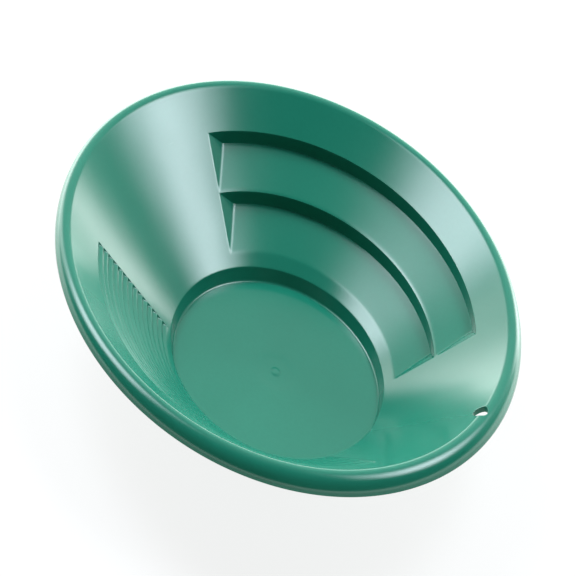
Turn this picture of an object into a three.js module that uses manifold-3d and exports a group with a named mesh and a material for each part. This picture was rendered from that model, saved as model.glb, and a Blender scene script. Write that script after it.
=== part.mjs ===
// Gold pan: one injection moulding in glossy green plastic, in millimetres, +Z up.
// The origin is the middle of the floor's underside, the pan's axis is +Z, and the two big
// trap riffles are centred on +Y.
import * as THREE from "three";
import { mergeVertices } from "three/addons/utils/BufferGeometryUtils.js";
import Module from "manifold-3d";

const wasm = await Module();
wasm.setup();

// Driving dimensions.
const panHeight = 70.2;
const thickness = 3;
const floorRadius = 84.8;
const dropHeight = 7.3; // from the floor up to the foot of the wall
const wallFootRadius = 87;
const wallLean = 32.5; // degrees between the wall and the floor
const lipRadius = 8; // the lip's round top, seen in section, which the wall runs into
const lipDepth = 9.2; // from the lip's top down to its lower edge

const riffleTopRadii = [156, 124.7]; // where each trap riffle's riser meets the wall
const riffleWidth = 30; // radial width of a trap riffle
const riserHeight = 7.5;
const riserDraft = 0.3; // how far the riser leans out on its way down
const riffleHalfSpan = 57.6; // degrees each side of the middle azimuth
const riffleEndTilt = 22; // degrees between a riffle's end face and the wall

const fineRiffleCount = 14;
const fineTopRadius = 154;
const finePitch = 4.55;
const fineWidth = 3.7;
const fineRiser = 1.3;
const fineHalfSpan = 60;
const fineEndTilt = 60;

const trapAzimuth = 90; // +Y
const fineAzimuth = 270; // -Y, opposite the trap riffles
const hangHoleAzimuth = 0.8;
const hangHoleRadius = 5.7; // cored straight down
const hangHolePathRadius = 178.6;

const gateMarkRadius = 4;
const gateMarkHeight = 0.5;

const segments = 72; // facets round the pan
const lipSteps = 8; // facets over the lip, in section
const clearance = 2; // how far a cutting shape reaches past what it cuts

const radians = THREE.MathUtils.degToRad;
const wallAngle = radians(wallLean);
const wallSlope = Math.tan(wallAngle);
const wallDrop = thickness / Math.cos(wallAngle); // the wall's thickness, measured straight down
const wallFootHeight = thickness + dropHeight;
const wallHeightAt = (radius) => wallFootHeight + (radius - wallFootRadius) * wallSlope;

// The lip's round touches both the wall and the pan's full height.
const lipHeight = panHeight - lipRadius;
const wallTopHeight = lipHeight + lipRadius * Math.cos(wallAngle);
const wallTopRadius = wallFootRadius + (wallTopHeight - wallFootHeight) / wallSlope;
const lipPathRadius = wallTopRadius + lipRadius * Math.sin(wallAngle);

const section = (...points) => points.map(([radius, height]) => new THREE.Vector2(radius, height));

// Turns a closed geometry into a solid, without the zero-width triangles that a lathe has on its axis.
function solid(geometry) {
  geometry.deleteAttribute("normal");
  geometry.deleteAttribute("uv");
  const welded = mergeVertices(geometry, 1e-3);
  const corners = welded.index.array;
  const triVerts = [];
  for (let i = 0; i < corners.length; i += 3) {
    const [a, b, c] = corners.slice(i, i + 3);
    if (a !== b && b !== c && c !== a) triVerts.push(a, b, c);
  }
  return new wasm.Manifold(new wasm.Mesh({
    numProp: 3,
    vertProperties: new Float32Array(welded.attributes.position.array),
    triVerts: new Uint32Array(triVerts),
  }));
}

// Turns a section, listed counter-clockwise with the radius to the right, about the +Z axis. A
// section that doesn't start on the axis is closed back to its first point.
function turned(points, around = segments) {
  const outline = points[0].x > 0 ? [...points, points[0].clone()] : points;
  return solid(new THREE.LatheGeometry(outline, around).rotateX(Math.PI / 2));
}

// Keeps the stretch of a ring within halfSpan degrees of an azimuth. Each end face holds the wall's
// own slope line there, and leans tilt degrees from the wall's surface, moved out by margin.
function stretch(ring, azimuth, halfSpan, tilt, margin = 0) {
  const size = 4 * wallTopRadius;
  const farHalf = new THREE.BoxGeometry(size, size, size).translate(-size / 2, 0, 0);
  farHalf.rotateZ(radians(azimuth));
  let kept = ring.subtract(solid(farHalf));
  for (const side of [-1, 1]) {
    const beyond = new THREE.BoxGeometry(size, size, size);
    beyond.translate(0, side * (size / 2 + margin), 0);
    beyond.rotateX(side * (radians(tilt) - Math.PI / 2));
    beyond.rotateY(-wallAngle);
    beyond.translate(wallFootRadius, 0, wallFootHeight);
    beyond.rotateZ(radians(azimuth + side * halfSpan));
    kept = kept.subtract(solid(beyond));
  }
  return kept;
}

// The lip's round in section, on its outside or, a thickness in, on its inside, from one lean to
// another. A lean is in degrees outward from upright.
function lipArc(radius, from, to, steps) {
  const points = [];
  for (let i = 0; i <= steps; i += 1) {
    const lean = radians(from + (to - from) * i / steps);
    points.push([lipPathRadius + radius * Math.sin(lean), lipHeight + radius * Math.cos(lean)]);
  }
  return points;
}

// The pan as if filled to the brim: floor, drop, wall and lip from outside. The lip turns down clear
// of the wall, with an open channel under it.
function filledOutside() {
  const rimRadius = lipPathRadius + lipRadius;
  const innerRadius = lipRadius - thickness;
  const edgeHeight = panHeight - lipDepth;
  return turned(section(
    [0, 0],
    [floorRadius + 2.5, 0],
    [floorRadius + 3.5, 1],
    [wallFootRadius + 3.1, wallHeightAt(wallFootRadius + 3.1) - wallDrop],
    ...lipArc(innerRadius, -wallLean, 90, lipSteps / 2),
    [rimRadius - thickness, edgeHeight],
    [rimRadius, edgeHeight],
    ...lipArc(lipRadius, 90, -wallLean, lipSteps),
    [0, wallTopHeight],
  ));
}

// The space inside the bowl, carried on above the brim.
function bowlSpace() {
  return turned(section(
    [0, thickness],
    [floorRadius - 1, thickness],
    [floorRadius, thickness + 1],
    [wallFootRadius - 0.3, wallFootHeight - 0.8],
    [wallFootRadius + 1, wallHeightAt(wallFootRadius + 1)],
    [wallTopRadius, wallTopHeight],
    [wallTopRadius, panHeight + clearance],
    [0, panHeight + clearance],
  ));
}

// A trap riffle's pocket: an upright riser on its rim side, and a floor that rises to the wall.
function rifflePocket(topRadius) {
  const bottomRadius = topRadius - riffleWidth;
  const deep = [topRadius + riserDraft, wallHeightAt(topRadius) - riserHeight];
  const rise = (wallHeightAt(bottomRadius) - deep[1]) / (bottomRadius - deep[0]);
  const ring = turned(section(
    deep,
    [topRadius, wallHeightAt(topRadius) + clearance],
    [bottomRadius - clearance, wallHeightAt(bottomRadius) + clearance],
    [bottomRadius - clearance, wallHeightAt(bottomRadius) - clearance * rise],
  ));
  return stretch(ring, trapAzimuth, riffleHalfSpan, riffleEndTilt);
}

// The same pocket seen from outside: the wall steps out round it at its full thickness.
function riffleBulge(topRadius) {
  const bottomRadius = topRadius - riffleWidth;
  const deepRadius = topRadius + riserDraft;
  const deepHeight = wallHeightAt(topRadius) - riserHeight;
  const rise = (wallHeightAt(bottomRadius) - deepHeight) / (bottomRadius - deepRadius);
  const floorDrop = thickness / Math.cos(Math.atan(rise));
  const outerHeightAt = (radius) => deepHeight + (radius - deepRadius) * rise - floorDrop;
  const outerRadius = deepRadius + thickness;
  const ring = turned(section(
    [bottomRadius, outerHeightAt(bottomRadius)],
    [outerRadius, outerHeightAt(outerRadius)],
    [outerRadius, wallHeightAt(outerRadius)],
    [bottomRadius, wallHeightAt(bottomRadius)],
  ));
  return stretch(ring, trapAzimuth, riffleHalfSpan, riffleEndTilt, thickness);
}

// The fine riffles: small copies of the same pocket, one under the other down the wall.
function finePockets() {
  let pockets = null;
  for (let i = 0; i < fineRiffleCount; i += 1) {
    const topRadius = fineTopRadius - i * finePitch;
    const bottomRadius = topRadius - fineWidth;
    const deepHeight = wallHeightAt(topRadius) - fineRiser;
    const rise = (wallHeightAt(bottomRadius) - deepHeight) / (bottomRadius - topRadius);
    const overlap = 0.6;
    const ring = turned(section(
      [topRadius, deepHeight],
      [topRadius, wallHeightAt(topRadius) + overlap],
      [bottomRadius - overlap, wallHeightAt(bottomRadius) + overlap],
      [bottomRadius - overlap, wallHeightAt(bottomRadius) - overlap * rise],
    ));
    pockets = pockets ? pockets.add(ring) : ring;
  }
  return stretch(pockets, fineAzimuth, fineHalfSpan, fineEndTilt);
}

// The hole that the pan hangs from: cored straight down through the wall, where it
// turns into the lip.
function hangHole() {
  const azimuth = radians(hangHoleAzimuth);
  const core = new THREE.CylinderGeometry(hangHoleRadius, hangHoleRadius, panHeight, 24);
  core.rotateX(Math.PI / 2);
  core.translate(hangHolePathRadius * Math.cos(azimuth), hangHolePathRadius * Math.sin(azimuth), panHeight);
  return solid(core);
}

// The low stub that the moulding gate leaves at the middle of the floor.
function gateMark() {
  return turned(section(
    [0, thickness / 2],
    [gateMarkRadius, thickness / 2],
    [gateMarkRadius, thickness + gateMarkHeight / 2],
    [gateMarkRadius / 2, thickness + gateMarkHeight],
    [0, thickness + gateMarkHeight],
  ), 24);
}

function panMoulding() {
  let outside = filledOutside();
  let inside = bowlSpace();
  for (const topRadius of riffleTopRadii) {
    outside = outside.add(riffleBulge(topRadius));
    inside = inside.add(rifflePocket(topRadius));
  }
  return outside.subtract(inside).subtract(finePockets()).subtract(hangHole()).add(gateMark());
}

function toGeometry(body) {
  const { vertProperties, triVerts } = body.getMesh();
  const geometry = new THREE.BufferGeometry();
  geometry.setAttribute("position", new THREE.BufferAttribute(vertProperties, 3));
  geometry.setIndex(new THREE.BufferAttribute(triVerts, 1));
  geometry.computeVertexNormals();
  return geometry;
}

const panPlastic = new THREE.MeshStandardMaterial({ color: 0x1b6f52, roughness: 0.25, metalness: 0 });

const goldPan = new THREE.Group();
const pan = new THREE.Mesh(toGeometry(panMoulding()), panPlastic);
pan.name = "pan_moulding";
goldPan.add(pan);

export default goldPan;
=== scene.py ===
"""Gold pan: the looks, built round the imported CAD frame. Metres, +Z up, riffles towards +Y."""
import math

import bpy
import numpy as np
from mathutils import Matrix, Quaternion, Vector


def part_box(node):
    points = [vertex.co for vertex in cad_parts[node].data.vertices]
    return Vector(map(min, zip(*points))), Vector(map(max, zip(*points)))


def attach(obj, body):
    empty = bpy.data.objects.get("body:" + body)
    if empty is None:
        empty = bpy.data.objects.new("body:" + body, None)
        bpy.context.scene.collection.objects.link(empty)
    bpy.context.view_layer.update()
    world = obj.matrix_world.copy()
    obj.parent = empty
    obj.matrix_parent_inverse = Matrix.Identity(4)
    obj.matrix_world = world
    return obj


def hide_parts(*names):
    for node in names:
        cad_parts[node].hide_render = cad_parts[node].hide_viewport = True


MM = 0.001

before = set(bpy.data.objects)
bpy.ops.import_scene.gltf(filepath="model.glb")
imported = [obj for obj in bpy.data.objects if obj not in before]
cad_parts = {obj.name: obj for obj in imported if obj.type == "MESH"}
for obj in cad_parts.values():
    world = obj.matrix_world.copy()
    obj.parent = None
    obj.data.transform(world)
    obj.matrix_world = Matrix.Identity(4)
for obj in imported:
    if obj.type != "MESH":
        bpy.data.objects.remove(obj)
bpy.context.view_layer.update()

# ---------------------------------------------------------------- driving dimensions, millimetres
pan_low, pan_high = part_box("pan_moulding")
HEIGHT = pan_high[2] / MM
THICK = 3.0
FLOOR = 84.8
FOOT = 87.0
FOOT_Z = 10.3
WALL_ANGLE = math.radians(32.5)
LIP = 8.0  # radius of the lip's round top, seen in section, which the wall runs into
LIP_DEPTH = 9.2
LIP_EDGE = 0.6  # rounding of the lip's lower edge

SLOPE = math.tan(WALL_ANGLE)
WALL_DROP = THICK / math.cos(WALL_ANGLE)
LIP_Z = HEIGHT - LIP
TOP_Z = LIP_Z + LIP * math.cos(WALL_ANGLE)
TOP = FOOT + (TOP_Z - FOOT_Z) / SLOPE
LIP_PATH = TOP + LIP * math.sin(WALL_ANGLE)

RIFFLE_TOPS = (156.0, 124.7)
RIFFLE_WIDTH = 30.0
RISER = 7.5
TRAP_AZIMUTH = 90.0
TRAP_HALF_SPAN = 57.6
TRAP_END_TILT = math.radians(22)

FINE_COUNT = 14
FINE_TOP = 154.0
FINE_PITCH = 4.55
FINE_WIDTH = 3.9
FINE_RISER = 1.4
FINE_AZIMUTH = -90.0
FINE_HALF_SPAN = 60.0
FINE_END_TILT = math.radians(50)

HOLE_AZIMUTH = 0.8
HOLE_PATH = 178.6
HOLE_RADIUS = 5.7
HOLE_ROUNDING = 0.4
HOLE_BLOCK_SPAN = 3.4  # degrees each side of the hole where the mesh turns into rings round it
HOLE_BLOCK_INNER = 169.0
HOLE_BLOCK_OUTER = 187.3

GATE_STUB = 0.45  # how high the gate mark's stub stands in the floor's shallow dish
GATE_DISH = 0.22

# The plastic's colours, and how rough it is where it isn't dull or worn.
DEEP_GREEN = (0.008, 0.163, 0.104)
LIGHT_GREEN = (0.012, 0.184, 0.118)
SPECK_GREEN = (0.007, 0.150, 0.095)
WORN_GREEN = (0.050, 0.250, 0.170)
ROUGHNESS = 0.18
MIX_COLOURS = (6, 7)  # the Mix node's two colour inputs and its colour output
MIX_RESULT = 2

BACK_AZIMUTH = 117.0  # straight away from the camera
SWEEP_RISE = 0.12  # how much the white floor sweeps up behind the pan
FLOOR_SHADE = 0.35  # the floor near the pan, in its shade, against the floor farther off
FLOOR_HALF = 6.0  # metres
FLOOR_Z = -0.0005
SOFTBOX_DISTANCE = 5.0


def wall_height(radius):
    return FOOT_Z + (radius - FOOT) * SLOPE


# ---------------------------------------------------------------- small mathematics
def smooth_step(low, high, value):
    """0 below low, 1 above high, and an S curve between them."""
    t = np.clip((value - low) / (high - low), 0.0, 1.0)
    return t * t * (3.0 - 2.0 * t)


def soft_min(a, b, blend):
    """The smaller of two heights, with a fillet about as wide as blend where they cross."""
    h = np.clip(0.5 + 0.5 * (b - a) / blend, 0.0, 1.0)
    return b + (a - b) * h - blend * h * (1.0 - h)


def soft_positive(a, blend):
    """The value where it is above zero, with a rounded start."""
    return -soft_min(-a, np.zeros_like(a), blend)


def away_from(azimuth, middle):
    """Degrees between an azimuth and a middle one, the short way round."""
    return np.abs((azimuth - middle + 180.0) % 360.0 - 180.0)


def clustered(low, high, count, humps, base=1.0):
    """Values from low to high that crowd together at each hump: (place, half width, weight)."""
    fine = np.linspace(low, high, 20001)
    density = np.full_like(fine, base)
    for place, half_width, weight in humps:
        density += weight / half_width * np.exp(-(((fine - place) / half_width) ** 2))
    run = np.concatenate([[0.0], np.cumsum((density[1:] + density[:-1]) / 2)])
    return np.interp(np.linspace(0.0, run[-1], count), run, fine)


# ---------------------------------------------------------------- the pan's surfaces
def end_ramp(radius, inside, tilt):
    """Depth below the wall of the plane that closes a pocket, inside degrees in from its end."""
    beta = np.radians(inside)
    lean = np.sin(beta) * math.tan(tilt) / math.cos(WALL_ANGLE)
    return radius * ((1.0 - np.cos(beta)) * SLOPE + lean)


def trap_depth(radius, azimuth, outside=0.0):
    """How far the trap riffles' pockets sink below the wall. outside is the wall's thickness when
    the surface is the pan's outer one, which steps out round each pocket."""
    inside = TRAP_HALF_SPAN - away_from(azimuth, TRAP_AZIMUTH)
    shift = outside / math.cos(WALL_ANGLE) * (1.0 / math.cos(TRAP_END_TILT) - 1.0)
    ramp = np.where(inside > -6.0, end_ramp(radius, inside, TRAP_END_TILT) + shift, -1.0)
    depth = np.zeros_like(radius)
    for top in RIFFLE_TOPS:
        bottom = top - RIFFLE_WIDTH
        fall = RISER / RIFFLE_WIDTH
        pocket = (radius - bottom) * fall
        floor_angle = math.atan(SLOPE - fall)
        pocket = pocket + outside / math.cos(floor_angle) - outside / math.cos(WALL_ANGLE)
        edge = top + outside
        window = 1.0 - smooth_step(edge - 0.3, edge + 0.45, radius)
        shape = soft_positive(soft_min(pocket, ramp, 0.8), 0.35)
        shape = np.where(radius > bottom - 3.0, shape, 0.0)
        depth = np.maximum(depth, shape * window)
    return depth


def fine_depth(radius, azimuth):
    """How far the fine riffles sink below the wall: one small pocket under another."""
    inside = FINE_HALF_SPAN - away_from(azimuth, FINE_AZIMUTH)
    ramp = np.where(inside > -4.0, end_ramp(radius, inside, FINE_END_TILT), -1.0)
    depth = np.zeros_like(radius)
    for i in range(FINE_COUNT):
        top = FINE_TOP - i * FINE_PITCH
        pocket = (radius - (top - FINE_WIDTH)) * FINE_RISER / FINE_WIDTH
        window = 1.0 - smooth_step(top - 0.15, top + 0.3, radius)
        shape = soft_positive(soft_min(pocket, ramp, 0.15), 0.12)
        shape = np.where(radius > top - FINE_WIDTH - 0.5, shape, 0.0)
        depth = np.maximum(depth, shape * window)
    return depth


def azimuths():
    """The directions of the mesh's spokes, in degrees, crowded at the hang hole and where the
    riffles end."""
    humps = [(HOLE_AZIMUTH, 3.0, 10.0)]
    for side in (-1, 1):
        humps.append((TRAP_AZIMUTH + side * (TRAP_HALF_SPAN - 3.5), 4.0, 24.0))
        humps.append((FINE_AZIMUTH + side * (FINE_HALF_SPAN - 0.3), 0.8, 12.0))
        humps.append((FINE_AZIMUTH + 360 + side * (FINE_HALF_SPAN - 0.3), 0.8, 12.0))
    return clustered(-90.0, 270.0, 561, humps)[:-1]


def wall_radii(azimuth):
    """Radii of the wall's rings at each azimuth: crowded at the riffle edges that pass there."""
    rings = 132
    trap = [(top + 0.08, 0.45, 9.0) for top in RIFFLE_TOPS]
    trap += [(top - RIFFLE_WIDTH, 0.8, 3.0) for top in RIFFLE_TOPS]
    fine = [(FINE_TOP - i * FINE_PITCH + 0.1, 0.28, 2.2) for i in range(FINE_COUNT)]
    trap_radii = clustered(FOOT + 1.2, TOP - 0.5, rings, trap, 0.45)
    fine_radii = clustered(FOOT + 1.2, TOP - 0.5, rings, fine, 0.35)
    away = away_from(azimuth, FINE_AZIMUTH)
    share = 1.0 - smooth_step(FINE_HALF_SPAN + 3.0, FINE_HALF_SPAN + 25.0, away)[:, None]
    return trap_radii * (1.0 - share) + fine_radii * share


def outer_radii():
    """Radii of the outer wall's rings, from the lip in to the foot."""
    humps = [(top + THICK, 0.9, 8.0) for top in RIFFLE_TOPS]
    return clustered(FOOT + 3.6, TOP + 0.9, 96, humps, 0.5)[::-1]


def arc(centre, radius, start, end, steps):
    """Points along an arc in the section plane, from one lean to another. A lean is in degrees
    outward from upright."""
    lean = np.radians(np.linspace(start, end, steps))
    return [(centre[0] + radius * math.sin(a), centre[1] + radius * math.cos(a)) for a in lean]


def floor_section():
    """The floor's upper face, from just off the axis out to the foot of the drop."""
    radii = list(np.linspace(0.4, 6.0, 12)) + list(np.linspace(7.5, 26.0, 14))
    radii += list(np.linspace(29.0, FLOOR - 2.6, 16))
    points = []
    for radius in radii:
        stub = GATE_STUB * (1.0 - smooth_step(2.2, 4.6, radius))
        dish = -GATE_DISH * (1.0 - smooth_step(11.0, 19.0, radius))
        points.append((radius, THICK + float(stub + dish)))
    return points


def drop_section():
    """The fillet at the floor's edge, the drop, and the rounded edge at the wall's foot."""
    rise = math.degrees(math.atan2(FOOT_Z - THICK, FOOT - FLOOR))
    fillet = 1.8
    edge = 1.6
    low = arc((FLOOR - fillet * 1.1, THICK + fillet), -fillet, 0, -rise, 8)
    wall = math.degrees(WALL_ANGLE)
    along = np.array([math.cos(math.radians(rise)), math.sin(math.radians(rise))])
    start = np.array([FOOT, FOOT_Z]) - edge * math.tan(math.radians(rise - wall) / 2) * along
    centre = start + edge * np.array([along[1], -along[0]])
    return low + arc(centre, edge, -rise, -wall, 8)


def lip_section():
    """From the wall's top over the round lip and down it, then back up under it to the wall."""
    centre = (LIP_PATH, LIP_Z)
    edge_z = HEIGHT - LIP_DEPTH + LIP_EDGE
    wall = math.degrees(WALL_ANGLE)
    points = arc(centre, LIP, -wall, 90, 46)
    points += arc((LIP_PATH + LIP - LIP_EDGE, edge_z), LIP_EDGE, 90, 180, 8)
    points += arc((LIP_PATH + LIP - THICK + LIP_EDGE, edge_z), LIP_EDGE, 180, 270, 8)
    points += arc(centre, LIP - THICK, 90, -wall / 2, 16)
    return points


def underside_section():
    """From the outer wall's foot down round the foot's corner and in to the axis."""
    foot = FOOT + 3.1
    start = wall_height(foot) - WALL_DROP
    points = [(foot, start - 0.15), (foot - 0.3, start - 0.9)]
    corner = (FLOOR + 3.9, 2.0)
    skirt = (foot - 0.4, start - 1.6)
    for share in (0.25, 0.5, 0.75):
        radius = skirt[0] + (corner[0] - skirt[0]) * share
        points.append((radius, skirt[1] + (corner[1] - skirt[1]) * share))
    points += arc((FLOOR + 2.2, 1.7), 1.7, 88, 180, 8)
    points += [(radius, 0.0) for radius in np.linspace(FLOOR, 0.4, 22)]
    return points


def block_loop(grid, spokes, rings):
    """The vertices round a block of the grid, counter-clockwise from above."""
    first, last = spokes
    inner, outer = rings
    ring_way = 1 if outer > inner else -1
    out_along = list(range(inner, outer, ring_way))
    loop = [grid[first, ring] for ring in out_along]
    loop += [grid[spoke, outer] for spoke in range(first, last)]
    loop += [grid[last, ring] for ring in range(outer, inner, -ring_way)]
    loop += [grid[spoke, inner] for spoke in range(last, first, -1)]
    return loop


def hang_hole(points, top_loop, base_loop, top_line, base_line):
    """Loops of points that lead from the block left out of the upper surface, in to the hole,
    down its bore, and out to the block left out of the lower surface."""
    azimuth = math.radians(HOLE_AZIMUTH)
    centre = HOLE_PATH * np.array([math.cos(azimuth), math.sin(azimuth)])
    top = points[top_loop][:, :2] - centre
    base = points[base_loop][:, :2] - centre
    angle = np.arctan2(top[:, 1], top[:, 0])
    spoke = np.stack([np.cos(angle), np.sin(angle)], axis=1)

    def on_surface(offset, line):
        place = centre + offset
        radius = np.linalg.norm(place, axis=1)
        return np.column_stack([place, np.interp(radius, line[:, 0], line[:, 1])])

    loops = []
    rounding = HOLE_ROUNDING
    rim = HOLE_RADIUS + rounding
    for share in np.linspace(0.0, 1.0, 9)[1:]:
        loops.append(on_surface(top * (1 - share) + spoke * rim * share, top_line))
    upper = on_surface(spoke * HOLE_RADIUS, top_line)
    lower = on_surface(spoke * HOLE_RADIUS, base_line)
    for turn in (22, 45, 68, 90):
        reach = rim - rounding * math.sin(math.radians(turn))
        ring = on_surface(spoke * reach, top_line)
        ring[:, 2] -= rounding * (1 - math.cos(math.radians(turn)))
        loops.append(ring)
    for share in (0.3, 0.55, 0.8):
        ring = upper.copy()
        ring[:, 2] = (upper[:, 2] - rounding) * (1 - share) + (lower[:, 2] + rounding) * share
        loops.append(ring)
    for turn in (90, 60, 30, 0):
        reach = rim - rounding * math.sin(math.radians(turn))
        ring = on_surface(spoke * reach, base_line)
        ring[:, 2] += rounding * (1 - math.cos(math.radians(turn)))
        loops.append(ring)
    for share in np.linspace(0.0, 1.0, 7)[1:-1]:
        loops.append(on_surface(spoke * rim * (1 - share) + base * share, base_line))
    return loops


def pan_mesh():
    """One closed skin: every spoke carries the same number of points, from the floor's middle out
    over the lip and back underneath to the middle again."""
    azimuth = azimuths()
    spokes = len(azimuth)

    def revolved(section):
        block = np.array(section)[None, :, :]
        return np.repeat(block, spokes, axis=0)

    inner_radius = wall_radii(azimuth)
    around = np.repeat(azimuth[:, None], inner_radius.shape[1], axis=1)
    sink = trap_depth(inner_radius, around) + fine_depth(inner_radius, around)
    inner = np.stack([inner_radius, wall_height(inner_radius) - sink], axis=2)

    outer_radius = np.repeat(outer_radii()[None, :], spokes, axis=0)
    around = np.repeat(azimuth[:, None], outer_radius.shape[1], axis=1)
    sink = trap_depth(outer_radius, around, THICK)
    outer = np.stack([outer_radius, wall_height(outer_radius) - WALL_DROP - sink], axis=2)

    parts = [revolved(floor_section()), revolved(drop_section()), inner, revolved(lip_section()),
             outer, revolved(underside_section())]
    section = np.concatenate(parts, axis=1)
    steps = section.shape[1]
    angle = np.radians(azimuth)[:, None]
    points = np.stack([section[:, :, 0] * np.cos(angle), section[:, :, 0] * np.sin(angle),
                       section[:, :, 1]], axis=2).reshape(-1, 3)
    grid = np.arange(spokes * steps).reshape(spokes, steps)

    hole_spokes = np.flatnonzero(away_from(azimuth, HOLE_AZIMUTH) < HOLE_BLOCK_SPAN)
    first, last = int(hole_spokes[0]), int(hole_spokes[-1])
    line = section[first]
    brow = int(np.argmax(line[:, 0]))
    top_outer = int(np.searchsorted(line[:brow, 0], HOLE_BLOCK_OUTER))
    top_inner = int(np.searchsorted(line[:brow, 0], HOLE_BLOCK_INNER))
    size = top_outer - top_inner
    under = np.flatnonzero((np.arange(steps) > brow) & (line[:, 0] < HOLE_BLOCK_OUTER))
    base_outer = int(under[0])
    base_inner = base_outer + size
    top_loop = block_loop(grid, (first, last), (top_inner, top_outer))
    base_loop = block_loop(grid, (first, last), (base_inner, base_outer))
    loops = hang_hole(points, top_loop, base_loop, line[top_inner - 2:brow],
                      line[base_outer - 6:base_inner + 3][::-1])

    keep = np.ones((spokes, steps - 1), dtype=bool)
    keep[first:last, top_inner:top_outer] = False
    keep[first:last, base_outer:base_inner] = False
    following = np.roll(grid, -1, axis=0)
    quads = np.stack([grid[:, :-1], grid[:, 1:], following[:, 1:], following[:, :-1]], axis=2)
    faces = quads[keep].tolist()

    rings = [top_loop]
    for loop in loops:
        rings.append(list(range(len(points), len(points) + len(loop))))
        points = np.concatenate([points, loop])
    rings.append(base_loop)
    for upper, lower in zip(rings, rings[1:]):
        count = len(upper)
        for i in range(count):
            after = (i + 1) % count
            faces.append([upper[i], upper[after], lower[after], lower[i]])

    floor_pole, base_pole = len(points), len(points) + 1
    points = np.concatenate([points, [[0.0, 0.0, section[0, 0, 1]], [0.0, 0.0, 0.0]]])
    for spoke in range(spokes):
        after = (spoke + 1) % spokes
        faces.append([floor_pole, grid[spoke, 0], grid[after, 0]])
        faces.append([base_pole, grid[after, -1], grid[spoke, -1]])

    mesh = bpy.data.meshes.new("pan_skin")
    mesh.from_pydata((points * MM).tolist(), [], [[int(v) for v in face] for face in faces])
    mesh.update()
    return mesh


# ---------------------------------------------------------------- nodes
def ranged(tree, value, start, end, first, last, curve="LINEAR"):
    """A value mapped from start..end to first..last, and held at the ends."""
    node = tree.nodes.new("ShaderNodeMapRange")
    node.interpolation_type = curve
    node.inputs["From Min"].default_value = start
    node.inputs["From Max"].default_value = end
    node.inputs["To Min"].default_value = first
    node.inputs["To Max"].default_value = last
    tree.links.new(value, node.inputs["Value"])
    return node.outputs["Result"]


def combined(tree, operation, a, b):
    """Two values put together by a Math node."""
    node = tree.nodes.new("ShaderNodeMath")
    node.operation = operation
    tree.links.new(a, node.inputs[0])
    tree.links.new(b, node.inputs[1])
    return node.outputs[0]


# ---------------------------------------------------------------- material
def pan_plastic():
    """Glossy green plastic: colour that drifts over the moulding, a skin that is a little dull in
    patches, scuffed on its edges and scratched by gravel, and not quite even."""
    material = bpy.data.materials.new("pan_plastic")
    material.use_nodes = True
    tree = material.node_tree
    nodes, links = tree.nodes, tree.links
    shader = nodes["Principled BSDF"]
    shader.inputs["IOR"].default_value = 1.5
    place = nodes.new("ShaderNodeTexCoord").outputs["Object"]

    def noise(scale, detail, roughness=0.5, turn=None, stretch=None):
        texture = nodes.new("ShaderNodeTexNoise")
        texture.inputs["Scale"].default_value = scale
        texture.inputs["Detail"].default_value = detail
        texture.inputs["Roughness"].default_value = roughness
        source = place
        if stretch:
            mapping = nodes.new("ShaderNodeMapping")
            mapping.inputs["Rotation"].default_value = (0.0, 0.0, turn)
            mapping.inputs["Scale"].default_value = stretch
            links.new(place, mapping.inputs["Vector"])
            source = mapping.outputs["Vector"]
        links.new(source, texture.inputs["Vector"])
        return texture.outputs["Fac"]

    def blend(factor, a, b):
        mixed = nodes.new("ShaderNodeMix")
        mixed.data_type = "RGBA"
        links.new(factor, mixed.inputs["Factor"])
        for socket, colour in zip(MIX_COLOURS, (a, b)):
            if isinstance(colour, tuple):
                mixed.inputs[socket].default_value = (*colour, 1.0)
            else:
                links.new(colour, mixed.inputs[socket])
        return mixed.outputs[MIX_RESULT]

    drift = ranged(tree, noise(9.0, 3.0), 0.3, 0.7, 0.0, 1.0)
    speck = ranged(tree, noise(420.0, 2.0), 0.35, 0.75, 0.0, 0.22)
    edge = nodes.new("ShaderNodeNewGeometry").outputs["Pointiness"]
    edge = ranged(tree, edge, 0.53, 0.62, 0.0, 0.4)
    patchy = ranged(tree, noise(60.0, 4.0), 0.42, 0.62, 0.0, 1.0)
    worn = combined(tree, "MULTIPLY", edge, patchy)
    green = blend(drift, DEEP_GREEN, LIGHT_GREEN)
    green = blend(speck, green, SPECK_GREEN)
    green = blend(worn, green, WORN_GREEN)
    links.new(green, shader.inputs["Base Color"])

    streaks = noise(14.0, 5.0, 0.6, 0.5, (1.0, 60.0, 8.0))
    crossing = noise(12.0, 5.0, 0.6, -0.9, (1.0, 70.0, 8.0))
    scratches = combined(tree, "MAXIMUM", ranged(tree, streaks, 0.66, 0.74, 0.0, 1.0),
                         ranged(tree, crossing, 0.67, 0.75, 0.0, 1.0))
    dull = ranged(tree, noise(24.0, 4.0, 0.6), 0.35, 0.7, ROUGHNESS - 0.015, ROUGHNESS + 0.025)
    dull = combined(tree, "ADD", dull, ranged(tree, scratches, 0.0, 1.0, 0.0, 0.05))
    dull = combined(tree, "ADD", dull, ranged(tree, worn, 0.0, 0.4, 0.0, 0.15))
    links.new(dull, shader.inputs["Roughness"])

    # Heights in metres: the wall's slow waves, the skin's fine grain, and the scratches, cut in.
    reliefs = ((noise(22.0, 1.0), 0.00022), (noise(1500.0, 2.0), 0.0000035),
               (scratches, -0.000002))
    normal = None
    for relief, rise in reliefs:
        bump = nodes.new("ShaderNodeBump")
        bump.inputs["Strength"].default_value = 1.0
        bump.inputs["Distance"].default_value = abs(rise)
        bump.invert = rise < 0
        links.new(relief, bump.inputs["Height"])
        if normal:
            links.new(normal, bump.inputs["Normal"])
        normal = bump.outputs["Normal"]
    links.new(normal, shader.inputs["Normal"])
    return material


# ---------------------------------------------------------------- camera and studio
def direction(azimuth, elevation):
    """A unit vector, its azimuth in degrees from +X towards +Y and its elevation up from level."""
    az, el = math.radians(azimuth), math.radians(elevation)
    return Vector((math.cos(el) * math.cos(az), math.cos(el) * math.sin(az), math.sin(el)))


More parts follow.
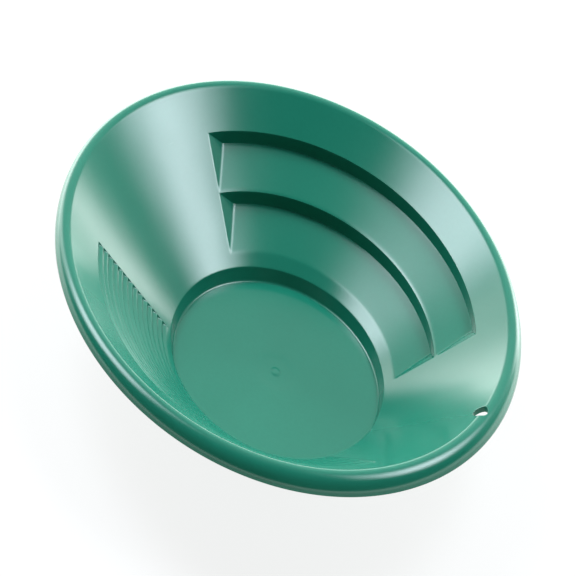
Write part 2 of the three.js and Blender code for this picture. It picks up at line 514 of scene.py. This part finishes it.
AIM = Vector((-0.01313, 0.03043, 0.03500))
VIEW_AZIMUTH = -63.411
VIEW_ELEVATION = 32.143
VIEW_DISTANCE = 4.101
PICTURE_RIGHT = direction(33.607, 9.389)
PICTURE_UP = direction(-84.335, 70.564)


def add_camera():
    """A distant camera that looks down on the pan. Its picture plane isn't square to its line of
    sight, so the picture is stretched along the plane's upward direction."""
    sight = direction(VIEW_AZIMUTH, VIEW_ELEVATION)
    holder = bpy.data.objects.new("camera_holder", None)
    bpy.context.scene.collection.objects.link(holder)
    data = bpy.data.cameras.new("camera")
    data.sensor_width = 36.0
    data.lens = 312.7
    data.clip_end = 50.0
    camera = bpy.data.objects.new("camera", data)
    bpy.context.scene.collection.objects.link(camera)
    camera.parent = holder
    skewed = Matrix((PICTURE_RIGHT, PICTURE_UP, sight)).transposed().to_4x4()
    skewed.translation = AIM + VIEW_DISTANCE * sight
    camera.matrix_parent_inverse = skewed
    bpy.context.scene.camera = camera
    return camera


def add_floor():
    """A pale floor. It shows to the camera only: the pan is lit from below by the world, as it
    would be by a floor of this brightness."""
    mesh = bpy.data.meshes.new("floor")
    corners = [(-1, -1), (1, -1), (1, 1), (-1, 1)]
    places = [(x * FLOOR_HALF, y * FLOOR_HALF, FLOOR_Z) for x, y in corners]
    mesh.from_pydata(places, [], [(0, 1, 2, 3)])
    floor = bpy.data.objects.new("floor", mesh)
    bpy.context.scene.collection.objects.link(floor)
    material = bpy.data.materials.new("floor")
    material.use_nodes = True
    shader = material.node_tree.nodes["Principled BSDF"]
    shader.inputs["Base Color"].default_value = (0.10, 0.10, 0.10, 1.0)
    shader.inputs["Roughness"].default_value = 0.9
    shader.inputs["Emission Color"].default_value = (1.0, 1.0, 1.0, 1.0)
    shader.inputs["Emission Strength"].default_value = 0.86
    mesh.materials.append(material)
    floor.visible_diffuse = False
    floor.visible_glossy = False
    floor.visible_shadow = False
    return floor


def fading_edges(data, soft):
    """Nodes that make an area light brightest in its middle, falling off over its edge, whose
    width is a share of the light's."""
    data.use_nodes = True
    tree = data.node_tree
    nodes, links = tree.nodes, tree.links
    place = nodes.new("ShaderNodeNewGeometry")
    split = nodes.new("ShaderNodeSeparateXYZ")
    links.new(place.outputs["Parametric"], split.inputs[0])
    fades = []
    for axis in "XY":
        centred = nodes.new("ShaderNodeMath")
        centred.operation = "SUBTRACT"
        centred.inputs[1].default_value = 0.5
        links.new(split.outputs[axis], centred.inputs[0])
        away = nodes.new("ShaderNodeMath")
        away.operation = "ABSOLUTE"
        links.new(centred.outputs[0], away.inputs[0])
        fades.append(ranged(tree, away.outputs[0], 0.5 - soft, 0.5, 1.0, 0.0, "SMOOTHSTEP"))
    brightness = combined(tree, "MULTIPLY", *fades)
    links.new(brightness, nodes["Emission"].inputs["Strength"])


def softbox(name, azimuth, elevation, wide, tall, radiance, soft=0.3, tint=(1.0, 1.0, 1.0),
            roll=0.0):
    """An area light on a sphere round the pan, turned to face it. azimuth and elevation say where
    its middle is, wide and tall how much it covers, and roll how far it is turned on its own
    axis, all in degrees seen from the pan."""
    data = bpy.data.lights.new(name, "AREA")
    data.shape = "RECTANGLE"
    data.size = 2 * SOFTBOX_DISTANCE * math.tan(math.radians(wide / 2))
    data.size_y = 2 * SOFTBOX_DISTANCE * math.tan(math.radians(tall / 2))
    data.energy = radiance * math.pi * data.size * data.size_y
    data.color = tint
    fading_edges(data, soft)
    light = bpy.data.objects.new(name, data)
    away = direction(azimuth, elevation)
    light.location = away * SOFTBOX_DISTANCE + Vector((0, 0, 0.05))
    light.rotation_mode = "QUATERNION"
    facing = away.to_track_quat("Z", "Y")
    light.rotation_quaternion = facing @ Quaternion((0, 0, 1), math.radians(roll))
    light.visible_camera = False
    bpy.context.scene.collection.objects.link(light)
    return light


def add_world():
    """The room: a white floor that sweeps up behind the pan, a grey glow on the wall over it, and
    a dark ceiling and front."""
    world = bpy.data.worlds.new("studio")
    world.use_nodes = True
    tree = world.node_tree
    nodes, links = tree.nodes, tree.links
    place = nodes.new("ShaderNodeTexCoord")

    def along(way):
        """How far the direction looked in points along another one."""
        product = nodes.new("ShaderNodeVectorMath")
        product.operation = "DOT_PRODUCT"
        product.inputs[1].default_value = way
        links.new(place.outputs["Generated"], product.inputs[0])
        return product.outputs["Value"]

    up = Vector((0.0, 0.0, 1.0))
    behind = direction(BACK_AZIMUTH, 0.0)
    sweep = ranged(tree, along(up - behind * SWEEP_RISE), -0.06, 0.12, 2.2, 0.0, "SMOOTHSTEP")
    shade = ranged(tree, along(up), -0.45, -0.05, FLOOR_SHADE, 1.0, "SMOOTHSTEP")
    glow = ranged(tree, along(behind), 0.05, 0.9, 0.06, 0.75, "SMOOTHSTEP")
    both = combined(tree, "ADD", combined(tree, "MULTIPLY", sweep, shade), glow)
    background = nodes["Background"]
    links.new(both, background.inputs["Strength"])
    background.inputs["Color"].default_value = (0.95, 1.0, 0.97, 1.0)
    bpy.context.scene.world = world


def add_studio():
    """The world and the softboxes. The fill lights the near wall's green and stays out of the
    reflections."""
    add_world()
    cool = (0.88, 0.97, 1.05)
    softbox("right_softbox", 54, 55, 50, 42, 14.5, 0.5, cool)
    softbox("left_softbox", 175, 48.5, 46, 50, 11.5, 0.42, cool, roll=-20)
    softbox("left_skirt", 160, 23, 36, 22, 2.6, 0.4)
    softbox("back_right_card", 86, 10, 24, 36, 4.6, 0.4)
    softbox("back_left_card", 150, 9, 46, 28, 2.7, 0.4)
    fill = softbox("back_fill", 105, 14, 110, 22, 9.0)
    fill.visible_glossy = False
    bpy.context.scene.view_settings.view_transform = "Standard"


pan = bpy.data.objects.new("pan", pan_mesh())
bpy.context.scene.collection.objects.link(pan)
pan.data.shade_smooth()
pan.data.set_sharp_from_angle(angle=math.radians(50))
pan.data.materials.clear()
pan.data.materials.append(pan_plastic())
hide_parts("pan_moulding")
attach(pan, "root")

add_camera()
add_floor()
add_studio()
